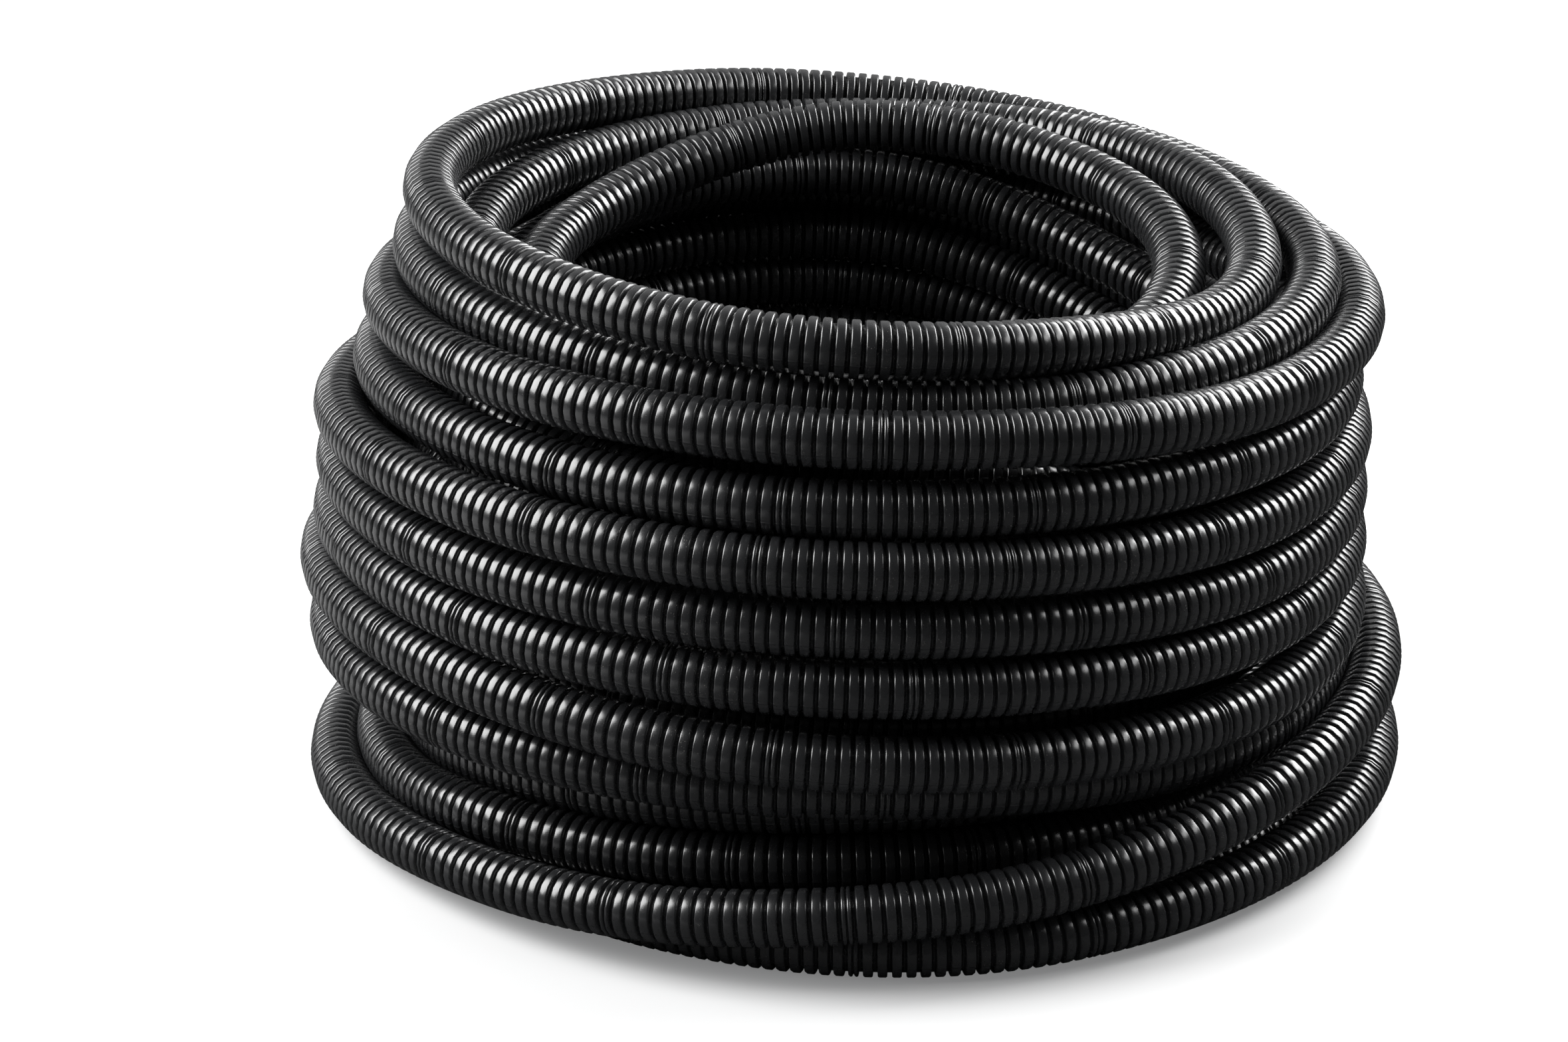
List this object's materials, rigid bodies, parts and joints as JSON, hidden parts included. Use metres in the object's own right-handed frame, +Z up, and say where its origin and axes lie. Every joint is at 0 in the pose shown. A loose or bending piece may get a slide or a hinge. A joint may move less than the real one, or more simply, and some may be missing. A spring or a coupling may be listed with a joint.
{
  "type": "coil of corrugated conduit",
  "caption": "Loose standing coil of black corrugated plastic conduit that guards cables and feeds off from its open eye.",
  "frame": {"origin": "middle of the coil's underside, on the floor", "axes": "+Z up along the coil's axis, -Y towards the side that the picture shows, +X to that side's right"},
  "size_m": [0.408, 0.408, 0.2227],
  "materials": {
    "conduit_plastic": "semi-gloss black moulded polyethylene with fine scuffs and dust"
  },
  "bodies": {
    "root": {"conduit_coil": "conduit_plastic"}
  },
  "joints": []
}
